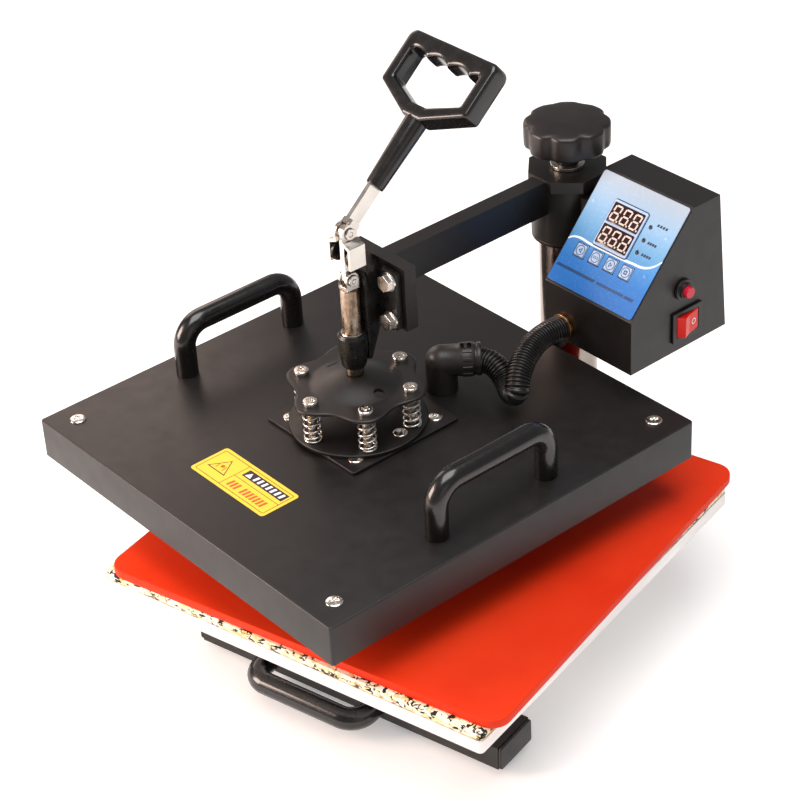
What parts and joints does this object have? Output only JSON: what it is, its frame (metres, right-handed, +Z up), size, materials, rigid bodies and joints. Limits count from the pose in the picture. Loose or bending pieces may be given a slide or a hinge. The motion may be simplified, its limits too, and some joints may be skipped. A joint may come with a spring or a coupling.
{
  "type": "heat press",
  "caption": "Swing-away heat press with a square heated platen on a toggle lever arm, a padded lower platen, a round post and a sloped control box.",
  "frame": {"origin": "centre of the bottom of the bounding box, on the bench surface", "axes": "+Z up, +Y from the front edge towards the post, +X to the right seen from the front"},
  "size_m": [0.4808, 0.5008, 0.4932],
  "materials": {
    "frame_paint": "satin black powder coat",
    "platen_paint": "satin black powder coat over cast aluminium",
    "cast_black": "black enamel on casting",
    "bright_zinc": "bright zinc plate",
    "post_chrome": "polished chrome",
    "rod_steel": "worn oiled steel",
    "spring_steel": "zinc-plated wire",
    "bush_steel": "blackened steel",
    "gloss_black": "gloss black dip coat",
    "matte_black": "moulded black plastic",
    "foot_rubber": "matt rubber",
    "plate_aluminium": "milled aluminium",
    "foam_board": "cream sponge with dark flecks",
    "silicone_red": "matt orange-red silicone",
    "panel_blue": "printed polyester film",
    "window_dark": "tinted window",
    "key_blue": "moulded key cap",
    "switch_red": "translucent red rocker",
    "button_red": "red push button",
    "gland_brass": "brass gland"
  },
  "bodies": {
    "base": {"base_frame": "frame_paint", "foot_fl": "foot_rubber", "foot_fr": "foot_rubber", "foot_rl": "foot_rubber", "foot_rr": "foot_rubber", "post": "post_chrome", "lift_bush": "bush_steel", "front_handle": "gloss_black", "lower_plate": "plate_aluminium", "foam_layer": "foam_board", "silicone_pad": "silicone_red"},
    "arm": {"swing_arm": "frame_paint", "clamp_casting": "cast_black", "clamp_bolt_1": "bright_zinc", "clamp_bolt_2": "bright_zinc", "clamp_bolt_3": "bright_zinc", "clamp_bolt_4": "bright_zinc", "thrust_ring": "bright_zinc", "box_shell": "frame_paint", "box_back": "frame_paint", "panel_film": "panel_blue", "display_window": "window_dark", "switch_bezel": "matte_black", "reset_bezel": "matte_black", "conduit_gland": "gland_brass"},
    "knob": {"pressure_knob": "matte_black"},
    "lever": {"lever_bar": "bright_zinc", "upper_pin_left": "bright_zinc", "upper_pin_right": "bright_zinc", "lever_grip": "gloss_black"},
    "plunger": {"plunger_rod": "rod_steel", "plunger_clevis": "bright_zinc", "lower_pin": "bright_zinc", "star_plate": "frame_paint", "platen_spring_1": "spring_steel", "platen_spring_2": "spring_steel", "platen_spring_3": "spring_steel", "platen_spring_4": "spring_steel", "platen_spring_5": "spring_steel", "platen_spring_6": "spring_steel"},
    "link": {"toggle_link": "bright_zinc"},
    "platen": {"upper_platen": "platen_paint", "mount_square": "frame_paint", "spring_disc": "frame_paint", "shoulder_screw_1": "bright_zinc", "shoulder_screw_2": "bright_zinc", "shoulder_screw_3": "bright_zinc", "shoulder_screw_4": "bright_zinc", "shoulder_screw_5": "bright_zinc", "shoulder_screw_6": "bright_zinc", "platen_handle_left": "gloss_black", "platen_handle_right": "gloss_black", "cable_elbow": "matte_black"},
    "key_1": {"panel_key_1": "key_blue"},
    "key_2": {"panel_key_2": "key_blue"},
    "key_3": {"panel_key_3": "key_blue"},
    "key_4": {"panel_key_4": "key_blue"},
    "rocker": {"power_rocker": "switch_red"},
    "reset": {"reset_button": "button_red"}
  },
  "joints": [
    {"name": "arm_swing", "type": "hinge", "parent": "base", "child": "arm", "pos_m": [0.04492, 0.20642, 0.31], "axis": [0, 0, 1], "range_deg": [-110, 13.8]},
    {"name": "knob_turn", "type": "hinge", "parent": "arm", "child": "knob", "pos_m": [0.04492, 0.20642, 0.375], "axis": [0, 0, 1], "range_deg": [-720, 720]},
    {"name": "lever_pull", "type": "hinge", "parent": "arm", "child": "lever", "pos_m": [-0.01202, -0.02539, 0.357], "axis": [0.9711, -0.2385, 0], "range_deg": [0, 155]},
    {"name": "plunger_slide", "type": "slide", "parent": "arm", "child": "plunger", "axis": [0, 0, -1], "range_m": [0, 0.0375]},
    {"name": "link_swing", "type": "hinge", "parent": "plunger", "child": "link", "pos_m": [-0.01202, -0.02539, 0.335], "axis": [0.9711, -0.2385, 0], "range_deg": [0, 12]},
    {"name": "platen_float", "type": "slide", "parent": "plunger", "child": "platen", "axis": [0, 0, 1], "range_m": [0, 0.003], "stiffness_N_per_m": 20000, "springref_m": -0.004, "deforming": ["platen_spring_1", "platen_spring_2", "platen_spring_3", "platen_spring_4", "platen_spring_5", "platen_spring_6"]},
    {"name": "key_1_press", "type": "slide", "parent": "arm", "child": "key_1", "axis": [0.1769, 0.7204, -0.6706], "range_m": [0, 0.0006], "stiffness_N_per_m": 400, "springref_m": -0.0005},
    {"name": "key_2_press", "type": "slide", "parent": "arm", "child": "key_2", "axis": [0.1769, 0.7204, -0.6706], "range_m": [0, 0.0006], "stiffness_N_per_m": 400, "springref_m": -0.0005},
    {"name": "key_3_press", "type": "slide", "parent": "arm", "child": "key_3", "axis": [0.1769, 0.7204, -0.6706], "range_m": [0, 0.0006], "stiffness_N_per_m": 400, "springref_m": -0.0005},
    {"name": "key_4_press", "type": "slide", "parent": "arm", "child": "key_4", "axis": [0.1769, 0.7204, -0.6706], "range_m": [0, 0.0006], "stiffness_N_per_m": 400, "springref_m": -0.0005},
    {"name": "rocker_tilt", "type": "hinge", "parent": "arm", "child": "rocker", "pos_m": [0.17855, 0.17401, 0.2498], "axis": [0, 0, 1], "range_deg": [-10, 0]},
    {"name": "reset_press", "type": "slide", "parent": "arm", "child": "reset", "axis": [-0.9711, 0.2385, 0], "range_m": [0, 0.003], "stiffness_N_per_m": 500, "springref_m": -0.0008}
  ],
  "couplings": [
    {"joint": "plunger_slide", "follows": "lever_pull", "m_per_rad": 0.013788},
    {"joint": "link_swing", "follows": "lever_pull", "ratio": 0.0748}
  ]
}
